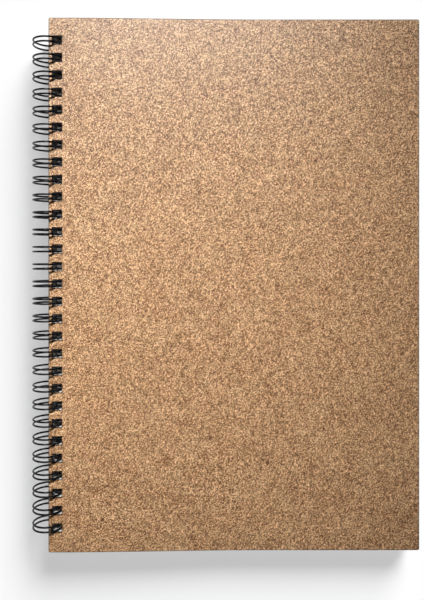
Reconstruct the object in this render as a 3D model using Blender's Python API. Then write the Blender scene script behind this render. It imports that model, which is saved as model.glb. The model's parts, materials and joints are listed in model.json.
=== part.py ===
"""A wire-bound sketchbook lying closed on a table: two kraft board covers and a block of heavy
drawing-paper leaves, all punched with one row of rectangular holes and held by one twin-loop wire.

Metres, +Z up, +X towards the fore-edge, +Y towards the head of the book. The origin is on the table
under the middle of the closed book. Every leaf turns about the axis of the wire's rings.
"""

import math

import bpy

# ---- Driving dimensions, in metres ----------------------------------------------------------
COVER_WIDTH = 0.181
COVER_HEIGHT = 0.260
COVER_THICKNESS = 0.0010

LEAF_COUNT = 20
LEAF_THICKNESS = 0.00030
LEAF_PITCH = 0.000325          # leaf and air, at the binding
LEAF_INSET = 0.0010            # how far the leaves stop short of the covers at head, foot and fore-edge

LOOP_COUNT = 29
LOOP_PITCH = 0.0254 / 3        # three loops to the inch
LOOP_ROW_SHIFT = 0.0005        # the row of holes sits this far towards the head
HOLE_DEPTH = 0.0044            # across the spine margin, along X
HOLE_HEIGHT = 0.0038           # along the spine, along Y
HOLE_TO_EDGE = 0.0020          # board left between a hole and the spine edge

WIRE_RADIUS = 0.00045
RING_RADIUS = 0.00715          # of the wire's centre line
RING_TO_EDGE = 0.0013          # from the ring axis to the spine edge of the block
ARM_SPACING = 0.00224          # between the two wires of one loop

BLOCK_HALF = 0.0049            # from the ring axis to the outer face of either cover, at the binding
SEAM_HEIGHT = -0.003255        # of the wire's links, in the gap above the back cover
TIP_GAP = math.radians(10.5)   # how far short of the links each loop's tip ends
BEND = 0.0006                  # size of the wire's corners
ARC_STEPS = 9                  # straight runs along each arm of a loop

CLEARANCE = 0.0001             # left between the last leaf and the back cover at the fore-edge

# ---- Derived sizes ----------------------------------------------------------------------------
RING_OUTER = RING_RADIUS + WIRE_RADIUS
FAR_EDGE = RING_TO_EDGE + COVER_WIDTH
AXIS_X = RING_OUTER - (RING_OUTER + FAR_EDGE) / 2
AXIS_Z = RING_OUTER
SEAM_ANGLE = math.asin(SEAM_HEIGHT / RING_RADIUS)
TIP_ANGLE = SEAM_ANGLE - 2 * math.pi + TIP_GAP
BEND_ANGLE = BEND / RING_RADIUS
FIRST_LOOP_Y = LOOP_ROW_SHIFT + LOOP_PITCH * (LOOP_COUNT - 1) / 2

# The rings stand lower than the block, so the closed book leans down towards its fore-edge.
BACK_TILT = math.asin((RING_OUTER - BLOCK_HALF) / FAR_EDGE)
FIRST_LEAF_TOP = BLOCK_HALF - COVER_THICKNESS - (LEAF_PITCH - LEAF_THICKNESS)
LAST_LEAF_UNDERSIDE = FIRST_LEAF_TOP - LEAF_PITCH * (LEAF_COUNT - 1) - LEAF_THICKNESS
SEAM_GAP = LAST_LEAF_UNDERSIDE + BLOCK_HALF - COVER_THICKNESS
LAST_LEAF_LEAN = math.asin((SEAM_GAP - CLEARANCE) / FAR_EDGE)   # closes the seam's gap at the fore-edge
LEAF_LEAN_STEP = LAST_LEAF_LEAN / LEAF_COUNT


def clear_scene():
    for thing in list(bpy.data.objects):
        bpy.data.objects.remove(thing)


def new_collection(name):
    collection = bpy.data.collections.new(name)
    bpy.context.scene.collection.children.link(collection)
    return collection


def new_material(name, color, roughness, metallic=0.0):
    material = bpy.data.materials.new(name)
    material.use_nodes = True
    shader = material.node_tree.nodes["Principled BSDF"]
    shader.inputs["Base Color"].default_value = (*color, 1.0)
    shader.inputs["Roughness"].default_value = roughness
    shader.inputs["Metallic"].default_value = metallic
    return material


def add_object(collection, name, data, parent, location=(0.0, 0.0, 0.0)):
    thing = bpy.data.objects.new(name, data)
    collection.objects.link(thing)
    thing.parent = parent
    thing.location = location
    return thing


def add_hinge(collection, name, parent, lean):
    """An empty on the ring axis. A positive lean tips what it carries down at the fore-edge."""
    hinge = add_object(collection, name, None, parent)
    hinge.rotation_euler = (0.0, lean, 0.0)
    return hinge


def add_outline(curve, corners):
    """One closed straight-sided outline in the curve's own XY plane."""
    spline = curve.splines.new("POLY")
    spline.points.add(len(corners) - 1)
    for point, (x, y) in zip(spline.points, corners):
        point.co = (x, y, 0.0, 1.0)
    spline.use_cyclic_u = True


def rectangle(x_low, x_high, y_low, y_high):
    return [(x_low, y_low), (x_high, y_low), (x_high, y_high), (x_low, y_high)]


def punched_board(name, inset, thickness, material):
    """A flat board or leaf with the row of binding holes. X runs out from the ring axis."""
    curve = bpy.data.curves.new(name, "CURVE")
    curve.dimensions = "2D"
    curve.fill_mode = "BOTH"
    curve.extrude = thickness / 2
    half_height = COVER_HEIGHT / 2 - inset
    add_outline(curve, rectangle(RING_TO_EDGE, FAR_EDGE - inset, -half_height, half_height))
    hole_start = RING_TO_EDGE + HOLE_TO_EDGE
    for loop in range(LOOP_COUNT):
        y = FIRST_LOOP_Y - LOOP_PITCH * loop
        hole = rectangle(hole_start, hole_start + HOLE_DEPTH, y - HOLE_HEIGHT / 2, y + HOLE_HEIGHT / 2)
        add_outline(curve, hole)
    curve.materials.append(material)
    return curve


def ring_point(angle, y):
    return (RING_RADIUS * math.cos(angle), y, RING_RADIUS * math.sin(angle))


def arm_points(y, link_side, tip_side):
    """One arm of a loop, from the link round to the tip. The sides say which way along Y each end turns."""
    span = TIP_ANGLE - SEAM_ANGLE
    points = [ring_point(SEAM_ANGLE, y + link_side * BEND), ring_point(SEAM_ANGLE - BEND_ANGLE, y)]
    points += [ring_point(SEAM_ANGLE + span * step / ARC_STEPS, y) for step in range(1, ARC_STEPS)]
    points += [ring_point(TIP_ANGLE + BEND_ANGLE, y), ring_point(TIP_ANGLE, y + tip_side * BEND)]
    return points


def wire_points():
    """The whole twin-loop wire: out along one arm, back along the other, and a link to the next loop."""
    points = []
    for loop in range(LOOP_COUNT):
        y = FIRST_LOOP_Y - LOOP_PITCH * loop
        points += arm_points(y + ARM_SPACING / 2, 1, -1)
        points += reversed(arm_points(y - ARM_SPACING / 2, -1, 1))
    return points


def wire_curve(material):
    curve = bpy.data.curves.new("wire_binding", "CURVE")
    curve.dimensions = "3D"
    curve.bevel_depth = WIRE_RADIUS
    curve.bevel_resolution = 1
    curve.use_fill_caps = True
    points = wire_points()
    spline = curve.splines.new("POLY")
    spline.points.add(len(points) - 1)
    for point, place in zip(spline.points, points):
        point.co = (*place, 1.0)
    curve.materials.append(material)
    return curve


def main():
    clear_scene()
    book = new_collection("sketchbook")
    kraft = new_material("kraft_board", (0.42, 0.27, 0.15), 0.85)
    paper = new_material("drawing_paper", (0.86, 0.85, 0.81), 0.90)
    black_wire = new_material("black_wire", (0.02, 0.02, 0.025), 0.35, 0.6)

    binding = add_hinge(book, "ring_axis", None, BACK_TILT)
    binding.location = (AXIS_X, 0.0, AXIS_Z)
    add_object(book, "wire_binding", wire_curve(black_wire), binding)

    cover_middle = BLOCK_HALF - COVER_THICKNESS / 2
    back = punched_board("back_cover", 0.0, COVER_THICKNESS, kraft)
    add_object(book, "back_cover", back, binding, (0.0, 0.0, -cover_middle))

    # Each leaf's hinge hangs on the hinge of the leaf below it, so that a turned leaf takes along
    # everything that lies on it.
    below = binding
    lean = LAST_LEAF_LEAN
    for number in range(LEAF_COUNT, 0, -1):
        name = f"leaf_{number:02d}"
        hinge = add_hinge(book, name + "_hinge", below, lean)
        leaf = punched_board(name, LEAF_INSET, LEAF_THICKNESS, paper)
        middle = FIRST_LEAF_TOP - LEAF_PITCH * (number - 1) - LEAF_THICKNESS / 2
        add_object(book, name, leaf, hinge, (0.0, 0.0, middle))
        below = hinge
        lean = -LEAF_LEAN_STEP

    front_hinge = add_hinge(book, "front_cover_hinge", below, lean)
    front = punched_board("front_cover", 0.0, COVER_THICKNESS, kraft)
    add_object(book, "front_cover", front, front_hinge, (0.0, 0.0, cover_middle))


main()
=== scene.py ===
"""Looks for the wire-bound sketchbook: kraft board covers, a block of drawing paper and a black
twin-loop wire, on a pale studio floor. All sizes are in metres, in the CAD model's own frame."""
import json
import math

import bmesh
import bpy
import numpy as np
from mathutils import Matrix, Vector

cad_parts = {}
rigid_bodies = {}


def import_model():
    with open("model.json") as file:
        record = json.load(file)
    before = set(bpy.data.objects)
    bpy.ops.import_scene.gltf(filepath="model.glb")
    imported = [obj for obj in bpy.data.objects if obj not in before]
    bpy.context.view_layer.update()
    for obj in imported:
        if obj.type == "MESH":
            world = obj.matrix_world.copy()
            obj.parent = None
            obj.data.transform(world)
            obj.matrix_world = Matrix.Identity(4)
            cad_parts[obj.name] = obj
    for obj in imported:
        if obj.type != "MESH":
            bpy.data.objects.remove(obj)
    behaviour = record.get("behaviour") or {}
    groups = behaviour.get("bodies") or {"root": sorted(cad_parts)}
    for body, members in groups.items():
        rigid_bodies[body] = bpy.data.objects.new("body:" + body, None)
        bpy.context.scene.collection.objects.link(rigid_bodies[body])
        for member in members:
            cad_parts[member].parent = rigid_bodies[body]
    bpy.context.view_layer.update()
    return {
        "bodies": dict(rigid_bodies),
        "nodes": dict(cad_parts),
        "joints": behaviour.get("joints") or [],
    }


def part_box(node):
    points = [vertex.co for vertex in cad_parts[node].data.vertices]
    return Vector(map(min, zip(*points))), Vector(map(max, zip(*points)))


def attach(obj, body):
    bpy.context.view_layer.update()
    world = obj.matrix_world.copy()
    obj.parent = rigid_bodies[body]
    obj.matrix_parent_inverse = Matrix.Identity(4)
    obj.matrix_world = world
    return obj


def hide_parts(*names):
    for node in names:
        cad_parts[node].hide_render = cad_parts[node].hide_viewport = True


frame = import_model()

# ---- The frame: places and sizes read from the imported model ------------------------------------
AXIS_X, _, AXIS_Z = frame["joints"][0]["pos_m"]
LEAF_LOW, LEAF_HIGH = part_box("leaf_01")
WIRE_LOW, WIRE_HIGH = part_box("wire_binding")
LEAVES = sorted(name for name in frame["nodes"] if name.startswith("leaf_"))

# ---- Binding, as punched and wound -------------------------------------------------------------
LOOP_COUNT = 29
LOOP_PITCH = 0.0254 / 3
FIRST_LOOP_Y = (WIRE_LOW.y + WIRE_HIGH.y) / 2 + LOOP_PITCH * (LOOP_COUNT - 1) / 2
HOLE_TO_EDGE = 0.0020          # board left between a hole and the spine edge
HOLE_DEPTH = 0.0044            # across the spine margin, along X
HOLE_HEIGHT = 0.0038           # along the spine, along Y
WIRE_RADIUS = 0.00045
RING_RADIUS = AXIS_Z - WIRE_RADIUS       # of the wire's centre line
ARM_SPACING = 0.00224          # between the two wires of one loop
SEAM_HEIGHT = -0.003255        # of the wire's links, from the ring axis
TIP_GAP = math.radians(10.5)   # how far short of the links each loop's tip ends
SEAM_ANGLE = math.asin(SEAM_HEIGHT / RING_RADIUS)
TIP_ANGLE = SEAM_ANGLE - 2 * math.pi + TIP_GAP
LINK_BEND = 0.0009             # radius of the bends between an arm and a link
ARM_POINTS = 44                # along each arm
LINK_POINTS = 5                # round each bend into a link
TIP_POINTS = 9                 # round each hairpin tip

# ---- The block, measured up from the ring axis at the binding and from the table further out ---
COVER_THICKNESS = 0.0010
LEAF_THICKNESS = 0.00030
LEAF_PITCH = 0.000325          # leaf and air, at the binding
BLOCK_HALF = 0.0049            # to the outer face of either cover
FLAT_TOP = 0.01025             # top of the front cover where the book lies flat on the table
LIFT_START = 0.005             # from the ring axis: the block is level up to here
LIFT_END = 0.105               # and lies flat on the table from here on

# ---- Wear and play, which the CAD model leaves out ---------------------------------------------
COVER_CORNER = 0.0008          # radius of the outer corners
LEAF_CORNER = 0.0005
COVER_STEP = 0.004             # size of the grid's quads
LEAF_STEP = 0.009
RIM_WEAR = 0.0004              # width of the covers' rounded rims
LEAF_PLAY = np.array((0.00006, 0.00022))      # how far a leaf may sit off its place, along X and Y
# Waves in the air between leaves: radians per metre along X and along Y, and the phase.
WAVES_LOW = (8, 8, 0)
WAVES_HIGH = (34, 34, 2 * math.pi)
WAVE_SIZE = 0.42

ROUND_OFF = 1e-6               # places closer together than this are the same place

rng = np.random.default_rng(29)


def smooth_step(t):
    t = np.clip(t, 0.0, 1.0)
    return t * t * (3 - 2 * t)


def settled(x, at_binding, on_table):
    """A height that goes from one value where the rings hold the block up to another where the book
    lies on the table."""
    lift = 1.0 - smooth_step((x - AXIS_X - LIFT_START) / (LIFT_END - LIFT_START))
    return lift * at_binding + (1 - lift) * on_table


# ---- Punched boards and leaves -----------------------------------------------------------------
def grid_lines(low, high, step):
    count = max(1, round((high - low) / step))
    return [low + (high - low) * i / count for i in range(count + 1)]


def punched_grid(low, high, corner_radius, step):
    """A flat grid of quads over the sheet, open at the binding holes, with blunted outer corners."""
    hole_start = low.x + HOLE_TO_EDGE
    hole_end = hole_start + HOLE_DEPTH
    xs = [low.x, low.x + HOLE_TO_EDGE / 2, hole_start, (hole_start + hole_end) / 2]
    xs += grid_lines(hole_end, high.x, step)
    centres = [FIRST_LOOP_Y - LOOP_PITCH * loop for loop in range(LOOP_COUNT)]
    inner = sorted(c + side * HOLE_HEIGHT / 2 for c in centres for side in (-1, 1))
    ys = grid_lines(low.y, inner[0], step)[:-1] + inner + grid_lines(inner[-1], high.y, step)[1:]
    mesh = bmesh.new()
    rows = [[mesh.verts.new((x, y, 0.0)) for x in xs] for y in ys]
    for j, (y0, y1) in enumerate(zip(ys, ys[1:])):
        in_hole_row = any(abs((y0 + y1) / 2 - c) < HOLE_HEIGHT / 4 for c in centres)
        for i, (x0, x1) in enumerate(zip(xs, xs[1:])):
            if in_hole_row and hole_start - ROUND_OFF < x0 and x1 < hole_end + ROUND_OFF:
                continue
            mesh.faces.new((rows[j][i], rows[j][i + 1], rows[j + 1][i + 1], rows[j + 1][i]))
    loose = [v for v in mesh.verts if not v.link_faces]
    bmesh.ops.delete(mesh, geom=loose, context="VERTS")
    corners = [v for v in mesh.verts if len(v.link_faces) == 1 and is_outer_corner(v.co, low, high)]
    bmesh.ops.bevel(mesh, geom=corners, affect="VERTICES", offset=corner_radius, segments=4,
                    profile=0.5)
    return mesh


def is_outer_corner(co, low, high):
    on_x = min(abs(co.x - low.x), abs(co.x - high.x)) < ROUND_OFF
    on_y = min(abs(co.y - low.y), abs(co.y - high.y)) < ROUND_OFF
    return on_x and on_y


def thick_sheet(name, flat, bottom_at, top_at, materials, bevel):
    """A closed sheet between two height functions. Its faces take the first material and its cut
    edges the last. Where it has a bevel, the rounded rim takes the second, which on the covers is a
    painted shade."""
    flat.verts.index_update()
    points = np.array([v.co for v in flat.verts])
    count = len(points)
    top = np.column_stack([points[:, :2], top_at(points[:, 0], points[:, 1])])
    bottom = np.column_stack([points[:, :2], bottom_at(points[:, 0], points[:, 1])])
    faces = [[v.index for v in f.verts] for f in flat.faces]
    walls = []
    for edge in flat.edges:
        if len(edge.link_faces) == 1:
            loop = edge.link_loops[0]
            a, b = loop.vert.index, loop.link_loop_next.vert.index
            walls.append([b, a, a + count, b + count])
    all_faces = faces + [[i + count for i in reversed(f)] for f in faces] + walls
    mesh = bpy.data.meshes.new(name)
    mesh.from_pydata(np.vstack([top, bottom]).tolist(), [], all_faces)
    for material in materials:
        mesh.materials.append(material)
    edge_index = [0] * (2 * len(faces)) + [len(materials) - 1] * len(walls)
    mesh.polygons.foreach_set("material_index", edge_index)
    mesh.shade_smooth()
    mesh.set_sharp_from_angle(angle=math.radians(40))
    flat.free()
    sheet = bpy.data.objects.new(name, mesh)
    bpy.context.scene.collection.objects.link(sheet)
    if bevel:
        # The bevel's rounded rim takes the second material, a near-black painted shade on the covers.
        rounded = sheet.modifiers.new("worn_rim_painted_shade", "BEVEL")
        rounded.width = bevel
        rounded.segments = 2
        rounded.limit_method = "ANGLE"
        rounded.angle_limit = math.radians(50)
        rounded.material = 1
    return sheet


def cover_face(at_binding, on_table):
    """The height function of a cover's face, given from the ring axis and from the table."""
    def height(x, y):
        return settled(x, AXIS_Z + at_binding, on_table)
    return height


def make_cover(name, outer, table_bottom, materials):
    """One cover. Its outer face is given from the ring axis, its underside from the table."""
    low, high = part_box(name)
    bottom, top = sorted((outer, outer - math.copysign(COVER_THICKNESS, outer)))
    flat = punched_grid(low, high, COVER_CORNER, COVER_STEP)
    cover = thick_sheet("visual_" + name, flat, cover_face(bottom, table_bottom),
                        cover_face(top, table_bottom + COVER_THICKNESS), materials, RIM_WEAR)
    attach(cover, name if name in frame["bodies"] else "binding")
    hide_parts(name)


def gap_weights(count):
    """One smooth random field for each gap between neighbouring sheets, all above zero."""
    waves = rng.uniform(WAVES_LOW, WAVES_HIGH, size=(count, 2, 3))

    def weights(x, y):
        fields = np.sin(waves[:, 0, 0, None] * x + waves[:, 0, 1, None] * y + waves[:, 0, 2, None])
        fields += np.sin(waves[:, 1, 0, None] * x - waves[:, 1, 1, None] * y + waves[:, 1, 2, None])
        return 1.0 + WAVE_SIZE * fields
    return weights


def leaf_underside(place, weights):
    """The height function of a leaf's underside. Its place counts down from the front cover."""
    gaps_below = len(LEAVES) - place
    air = FLAT_TOP - 2 * COVER_THICKNESS - len(LEAVES) * LEAF_THICKNESS
    first_top = BLOCK_HALF - COVER_THICKNESS - (LEAF_PITCH - LEAF_THICKNESS)
    at_binding = AXIS_Z + first_top - LEAF_PITCH * place - LEAF_THICKNESS

    def height(x, y):
        field = weights(x, y)
        share = field[-gaps_below:].sum(axis=0) / field.sum(axis=0)
        on_table = COVER_THICKNESS + air * share + LEAF_THICKNESS * (gaps_below - 1)
        return settled(x, at_binding, on_table)
    return height


def make_leaves(materials):
    """The leaves between the covers. The air between them varies a little from place to place."""
    weights = gap_weights(len(LEAVES) + 1)
    low = Vector((LEAF_LOW.x, LEAF_LOW.y, 0.0))
    high = Vector((LEAF_HIGH.x, LEAF_HIGH.y, 0.0))
    for place, name in enumerate(LEAVES):
        underside = leaf_underside(place, weights)
        slide = rng.uniform(-LEAF_PLAY, LEAF_PLAY)
        flat = punched_grid(low, high, LEAF_CORNER, LEAF_STEP)
        bmesh.ops.translate(flat, vec=(*slide, 0.0), verts=flat.verts)
        leaf = thick_sheet("visual_" + name, flat, underside,
                           lambda x, y: underside(x, y) + LEAF_THICKNESS, materials, 0.0)
        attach(leaf, name)
        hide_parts(name)


# ---- The wire ----------------------------------------------------------------------------------
def on_ring(angle, y):
    return (AXIS_X + RING_RADIUS * math.cos(angle), y, AXIS_Z + RING_RADIUS * math.sin(angle))


def arm(y, link_side):
    """One arm of a loop, from its link, round the bend and on to where the tip's bend starts."""
    bend_angle = LINK_BEND / RING_RADIUS
    tip_start = TIP_ANGLE + ARM_SPACING / 2 / RING_RADIUS
    points = []
    for t in np.linspace(0, math.pi / 2, LINK_POINTS)[:-1]:
        side = link_side * LINK_BEND * (1 - math.sin(t))
        points.append(on_ring(SEAM_ANGLE - bend_angle * (1 - math.cos(t)), y + side))
    for angle in np.linspace(SEAM_ANGLE - bend_angle, tip_start, ARM_POINTS):
        points.append(on_ring(angle, y))
    return points


def loop_points(y):
    """Down one arm, round the hairpin tip and back along the other arm."""
    half = ARM_SPACING / 2
    points = arm(y + half, 1)
    for t in np.linspace(0, math.pi, TIP_POINTS)[1:-1]:
        angle = TIP_ANGLE + half / RING_RADIUS * (1 - math.sin(t))
        points.append(on_ring(angle, y + half * math.cos(t)))
    return points + arm(y - half, -1)[::-1]


def make_wire(material):
    """The whole wire as one round curve: every loop, each linked to the next."""
    curve = bpy.data.curves.new("visual_wire_binding", "CURVE")
    curve.dimensions = "3D"
    curve.bevel_depth = WIRE_RADIUS
    curve.bevel_resolution = 4
    curve.use_fill_caps = True
    points = []
    for loop in range(LOOP_COUNT):
        points += loop_points(FIRST_LOOP_Y - LOOP_PITCH * loop)
    spline = curve.splines.new("POLY")
    spline.points.add(len(points) - 1)
    for point, place in zip(spline.points, points):
        point.co = (*place, 1.0)
    spline.use_smooth = True
    curve.materials.append(material)
    wire = bpy.data.objects.new("visual_wire_binding", curve)
    bpy.context.scene.collection.objects.link(wire)
    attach(wire, "binding")
    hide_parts("wire_binding")


# ---- Materials ---------------------------------------------------------------------------------
class Nodes:
    """Short names for building one material's node tree. Noise scales are per millimetre."""

    def __init__(self, name):
        self.material = bpy.data.materials.new(name)
        self.material.use_nodes = True
        self.tree = self.material.node_tree
        self.shader = self.tree.nodes["Principled BSDF"]

    def add(self, kind, inputs=None, **settings):
        node = self.tree.nodes.new(kind)
        for key, value in settings.items():
            setattr(node, key, value)
        self.fill(node, inputs or {})
        return node

    def fill(self, node, inputs):
        """Each input gets a constant, or a link where the value is another node's output."""
        for key, value in inputs.items():
            if isinstance(value, bpy.types.NodeSocket):
                self.tree.links.new(value, node.inputs[key])
            else:
                node.inputs[key].default_value = value

    def shade(self, inputs):
        self.fill(self.shader, inputs)

    def coordinates(self, turn=0.0, stretch=(1.0, 1.0, 1.0)):
        """The piece's own coordinates in millimetres, turned in its plane and stretched."""
        place = self.add("ShaderNodeTexCoord").outputs["Object"]
        turned = self.add("ShaderNodeMapping", {"Vector": place, "Rotation": (0.0, 0.0, turn)})
        scale = tuple(1000.0 / s for s in stretch)
        return self.add("ShaderNodeMapping", {"Vector": turned.outputs[0], "Scale": scale}).outputs[0]

    def noise(self, vector, scale, detail=2.0, rough=0.5, distortion=0.0):
        inputs = {"Vector": vector, "Scale": scale, "Detail": detail, "Roughness": rough,
                  "Distortion": distortion}
        return self.add("ShaderNodeTexNoise", inputs).outputs["Fac"]

    def flecks(self, vector):
        """One random value for each cell, like cut fibres lying side by side."""
        cells = self.add("ShaderNodeTexVoronoi", {"Vector": vector, "Scale": 1.0}).outputs["Color"]
        return self.add("ShaderNodeSeparateColor", {"Color": cells}).outputs["Red"]

    def math(self, operation, a, b=0.0, clamp=False):
        node = self.add("ShaderNodeMath", {0: a, 1: b}, operation=operation, use_clamp=clamp)
        return node.outputs[0]

    def weighted_sum(self, *parts):
        """The sum of (value, weight) pairs."""
        total, *others = [self.math("MULTIPLY", value, weight) for value, weight in parts]
        for other in others:
            total = self.math("ADD", total, other)
        return total

    def span(self, value, low, high, to_low=0.0, to_high=1.0):
        """A value between low and high, moved to between to_low and to_high and kept there."""
        inputs = {"Value": value, "From Min": low, "From Max": high,
                  "To Min": to_low, "To Max": to_high}
        return self.add("ShaderNodeMapRange", inputs).outputs["Result"]

    def mix(self, share, a, b, how="MIX"):
        node = self.add("ShaderNodeMix", data_type="RGBA", blend_type=how)
        self.fill(node, {"Factor": share, "A": a, "B": b})
        return node.outputs["Result"]

    def ramp(self, value, stops):
        node = self.add("ShaderNodeValToRGB", {"Fac": value})
        elements = node.color_ramp.elements
        while len(elements) < len(stops):
            elements.new(0.5)
        for element, (position, color) in zip(elements, stops):
            element.position = position
            element.color = (*color, 1.0)
        return node.outputs["Color"]

    def bump(self, height, strength, distance):
        inputs = {"Height": height, "Strength": strength, "Distance": distance}
        self.shade({"Normal": self.add("ShaderNodeBump", inputs).outputs["Normal"]})


def strands(nodes, turn, length, width, band):
    """Thin short fibres lying one way: the level lines of a stretched noise."""
    along = nodes.coordinates(turn, (length, width, width))
    from_middle = nodes.math("SUBTRACT", nodes.noise(along, 1.0, 1.0, 0.5, 0.6), 0.5)
    return nodes.span(nodes.math("ABSOLUTE", from_middle), 0.0, band, 1.0, 0.0)


def kraft_face():
    """Short flecks lying both ways on a dark ground, with pale strands and soft cloudy patches."""
    nodes = Nodes("kraft_board_face")
    plain = nodes.coordinates()
    rise, fall = math.radians(-45), math.radians(45)
    rising = nodes.noise(nodes.coordinates(rise, (1.25, 0.31, 0.31)), 1.0, 2.0, 0.6)
    falling = nodes.noise(nodes.coordinates(fall, (1.0, 0.31, 0.31)), 1.0, 2.0, 0.6)
    grain = nodes.noise(plain, 2.6, 1.0, 0.7)
    weave = nodes.weighted_sum((rising, 0.40), (falling, 0.26), (grain, 0.34))
    rising_flecks = nodes.flecks(nodes.coordinates(rise, (0.48, 0.265, 0.265)))
    falling_flecks = nodes.flecks(nodes.coordinates(fall, (0.38, 0.265, 0.265)))
    flecks = nodes.weighted_sum((rising_flecks, 0.6), (falling_flecks, 0.4))
    cloud = nodes.noise(plain, 0.22, 3.0, 0.6)
    tone = nodes.weighted_sum((nodes.span(flecks, 0.29, 0.74), 0.95), (cloud, 0.40))
    tone = nodes.math("SUBTRACT", tone, 0.17, clamp=True)
    color = nodes.ramp(tone, ((0.0, (0.095, 0.032, 0.008)), (0.45, (0.225, 0.098, 0.033)),
                              (0.70, (0.56, 0.308, 0.146)), (1.0, (0.95, 0.632, 0.366))))
    pale = strands(nodes, math.radians(-50), 1.5, 0.4, 0.03)
    pale_mask = nodes.span(nodes.noise(plain, 0.7, 2.0), 0.48, 0.62)
    pale_share = nodes.math("MULTIPLY", nodes.math("MULTIPLY", pale, pale_mask), 0.8)
    color = nodes.mix(pale_share, color, (0.92, 0.62, 0.37, 1))
    patch = nodes.span(nodes.noise(plain, 0.11, 2.0, 0.5), 0.35, 0.65)
    tint = nodes.mix(patch, (1.012, 0.992, 0.98, 1), (0.988, 1.008, 1.01, 1))
    nodes.shade({"Base Color": nodes.mix(1.0, color, tint, "MULTIPLY"),
                 "Roughness": nodes.span(tone, 0.0, 1.0, 0.44, 0.38),
                 "Specular IOR Level": 0.7})
    nodes.bump(weave, 0.35, 0.0004)
    return nodes.material


def kraft_edge(name, dark, light):
    """The cut edge of the board with its pressed layers; given near-black colours, the same layers
    make the painted shade along the covers' rounded rims.
    """
    nodes = Nodes(name)
    layers = nodes.noise(nodes.coordinates(0.0, (3.0, 3.0, 0.12)), 1.0, 3.0, 0.6)
    nodes.shade({"Base Color": nodes.mix(nodes.span(layers, 0.3, 0.7), dark, light),
                 "Roughness": 0.9})
    nodes.bump(layers, 0.5, 0.0001)
    return nodes.material


def paper(name, light, dark):
    """Heavy drawing paper: a fine tooth, and a white that varies a little."""
    nodes = Nodes(name)
    tooth = nodes.noise(nodes.coordinates(), 3.2, 3.0, 0.6)
    cloud = nodes.noise(nodes.coordinates(), 0.12, 2.0, 0.5)
    tone = nodes.weighted_sum((tooth, 0.6), (cloud, 0.4))
    nodes.shade({"Base Color": nodes.mix(nodes.span(tone, 0.3, 0.7), dark, light),
                 "Roughness": nodes.span(tooth, 0.3, 0.7, 0.95, 0.85),
                 "Specular IOR Level": 0.3})
    nodes.bump(tooth, 0.35, 0.00012)
    return nodes.material


def black_wire():
    """A smooth black coating, dulled a little from place to place."""
    nodes = Nodes("black_coated_wire")
    fine = nodes.noise(nodes.coordinates(), 4.0, 2.0, 0.5)
    wear = nodes.noise(nodes.coordinates(), 0.7, 3.0, 0.6)
    color = nodes.mix(nodes.span(wear, 0.4, 0.7), (0.002, 0.002, 0.003, 1), (0.006, 0.006, 0.009, 1))
    nodes.shade({"Base Color": color,
                 "Roughness": nodes.span(wear, 0.3, 0.7, 0.17, 0.27),
                 "Specular IOR Level": 0.2})
    nodes.bump(fine, 0.12, 0.00004)
    return nodes.material


def studio_floor():
    nodes = Nodes("pale_floor")
    cloud = nodes.noise(nodes.coordinates(), 0.01, 2.0, 0.5)
    nodes.shade({"Base Color": nodes.mix(cloud, (0.90, 0.90, 0.905, 1), (0.92, 0.92, 0.925, 1)),
                 "Roughness": 0.95,
                 "Specular IOR Level": 0.1})
    return nodes.material


# ---- Studio ------------------------------------------------------------------------------------
FLOOR_HALF = 3.0
FLOOR_DROP = 0.0003            # a hair under the back cover, so that no two faces lie in one plane
MIDDLE = (0.0, 0.0, 0.0)


def add_floor():
    mesh = bmesh.new()
    bmesh.ops.create_grid(mesh, x_segments=8, y_segments=8, size=FLOOR_HALF)
    data = bpy.data.meshes.new("floor")
    mesh.to_mesh(data)
    mesh.free()
    data.materials.append(studio_floor())
    floor = bpy.data.objects.new("floor", data)
    floor.location.z = -FLOOR_DROP
    bpy.context.scene.collection.objects.link(floor)
    return floor


def group(name, members):
    """A collection of its own for light linking, outside the scene's."""
    collection = bpy.data.collections.new(name)
    for member in members:
        collection.objects.link(member)
    return collection


def add_light(name, kind, place, aim, energy, receivers, blockers=None, **settings):
    """A lamp turned to its aim, which lights the receivers only. Only the blockers cast its shadow,
    or everything where none are named."""
    light = bpy.data.lights.new(name, kind)
    light.energy = energy
    for key, value in settings.items():
        setattr(light, key, value)
    lamp = bpy.data.objects.new(name, light)
    lamp.location = place
    lamp.rotation_euler = (Vector(aim) - Vector(place)).to_track_quat("-Z", "Y").to_euler()
    lamp.visible_camera = False
    bpy.context.scene.collection.objects.link(lamp)
    lamp.light_linking.receiver_collection = group(name + "_lights", receivers)
    if blockers:
        lamp.light_linking.blocker_collection = group(name + "_is_blocked_by", blockers)


def add_world():
    """A pale horizon under a dark ceiling, which leaves the covers' faces to the lamps."""
    world = bpy.data.worlds.new("studio_air")
    world.use_nodes = True
    tree = world.node_tree
    direction = tree.nodes.new("ShaderNodeTexCoord").outputs["Generated"]
    parts = tree.nodes.new("ShaderNodeSeparateXYZ")
    tree.links.new(direction, parts.inputs[0])
    ramp = tree.nodes.new("ShaderNodeValToRGB")
    ramp.color_ramp.interpolation = "EASE"
    ramp.color_ramp.elements.new(0.5)
    levels = ((0.10, 0.90), (0.25, 0.25), (0.50, 0.02))
    for element, (height, level) in zip(ramp.color_ramp.elements, levels):
        element.position = height
        element.color = (level, level, level, 1.0)
    tree.links.new(parts.outputs["Z"], ramp.inputs["Fac"])
    background = tree.nodes["Background"]
    tree.links.new(ramp.outputs["Color"], background.inputs["Color"])
    background.inputs["Strength"].default_value = 1.0
    bpy.context.scene.world = world


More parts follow.
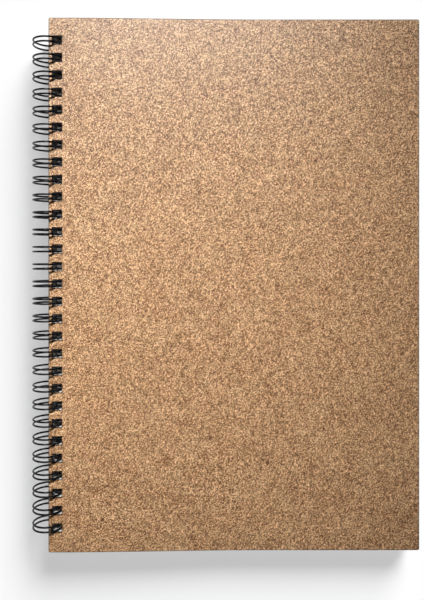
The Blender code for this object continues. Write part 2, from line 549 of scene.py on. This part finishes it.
def add_camera():
    """Straight down, from over a point a little towards the head from the book's middle."""
    data = bpy.data.cameras.new("camera")
    data.sensor_fit = "AUTO"
    data.sensor_width = 36.0
    data.lens = 36.48
    data.shift_y = -0.075
    data.clip_start = 0.01
    camera = bpy.data.objects.new("camera", data)
    camera.location = (-0.0065, 0.0146, 0.3078)
    bpy.context.scene.collection.objects.link(camera)
    bpy.context.scene.camera = camera


# ---- The scene ---------------------------------------------------------------------------------
kraft = [kraft_face(),
         # The rim's near-black colours are painted shade along the rounded rims of the covers and
         # their holes.
         kraft_edge("kraft_board_rim_painted_shade", (0.018, 0.009, 0.005, 1), (0.055, 0.028, 0.014, 1)),
         kraft_edge("kraft_board_edge", (0.08, 0.042, 0.022, 1), (0.23, 0.135, 0.075, 1))]
sheet_paper = [paper("drawing_paper", (0.74, 0.735, 0.71, 1), (0.70, 0.695, 0.67, 1)),
               paper("drawing_paper_edge", (0.72, 0.715, 0.69, 1), (0.56, 0.555, 0.53, 1))]
make_cover("back_cover", -BLOCK_HALF, 0.0, kraft)
make_cover("front_cover", BLOCK_HALF, FLAT_TOP - COVER_THICKNESS, kraft)
make_leaves(sheet_paper)
make_wire(black_wire())
floor = add_floor()
book = [piece for piece in bpy.data.objects if piece.name.startswith("visual_")]
lower_names = LEAVES[len(LEAVES) // 2:] + ["back_cover"]
lower_half = [bpy.data.objects["visual_" + name] for name in lower_names]
add_light("gridded_box", "AREA", place=(-0.204, 1.431, 1.42), aim=(-0.036, 0.035, 0.010),
          energy=0.530, receivers=book, size=0.20, spread=math.radians(14.0))
add_light("page_box", "AREA", place=(-0.75, 0.95, 1.45), aim=(-0.235, -0.010, 0.010),
          energy=0.17, receivers=book, size=0.15, spread=math.radians(10.0))
add_light("floor_key", "SUN", place=(0.60, 1.38, 0.63), aim=MIDDLE,
          energy=4.2, receivers=[floor], angle=math.radians(30))
add_light("floor_fill", "SUN", place=(-0.25, -0.15, 1.3), aim=MIDDLE,
          energy=1.66, receivers=[floor], blockers=lower_half, angle=math.radians(70))
add_world()
add_camera()
bpy.context.scene.view_settings.view_transform = "Standard"
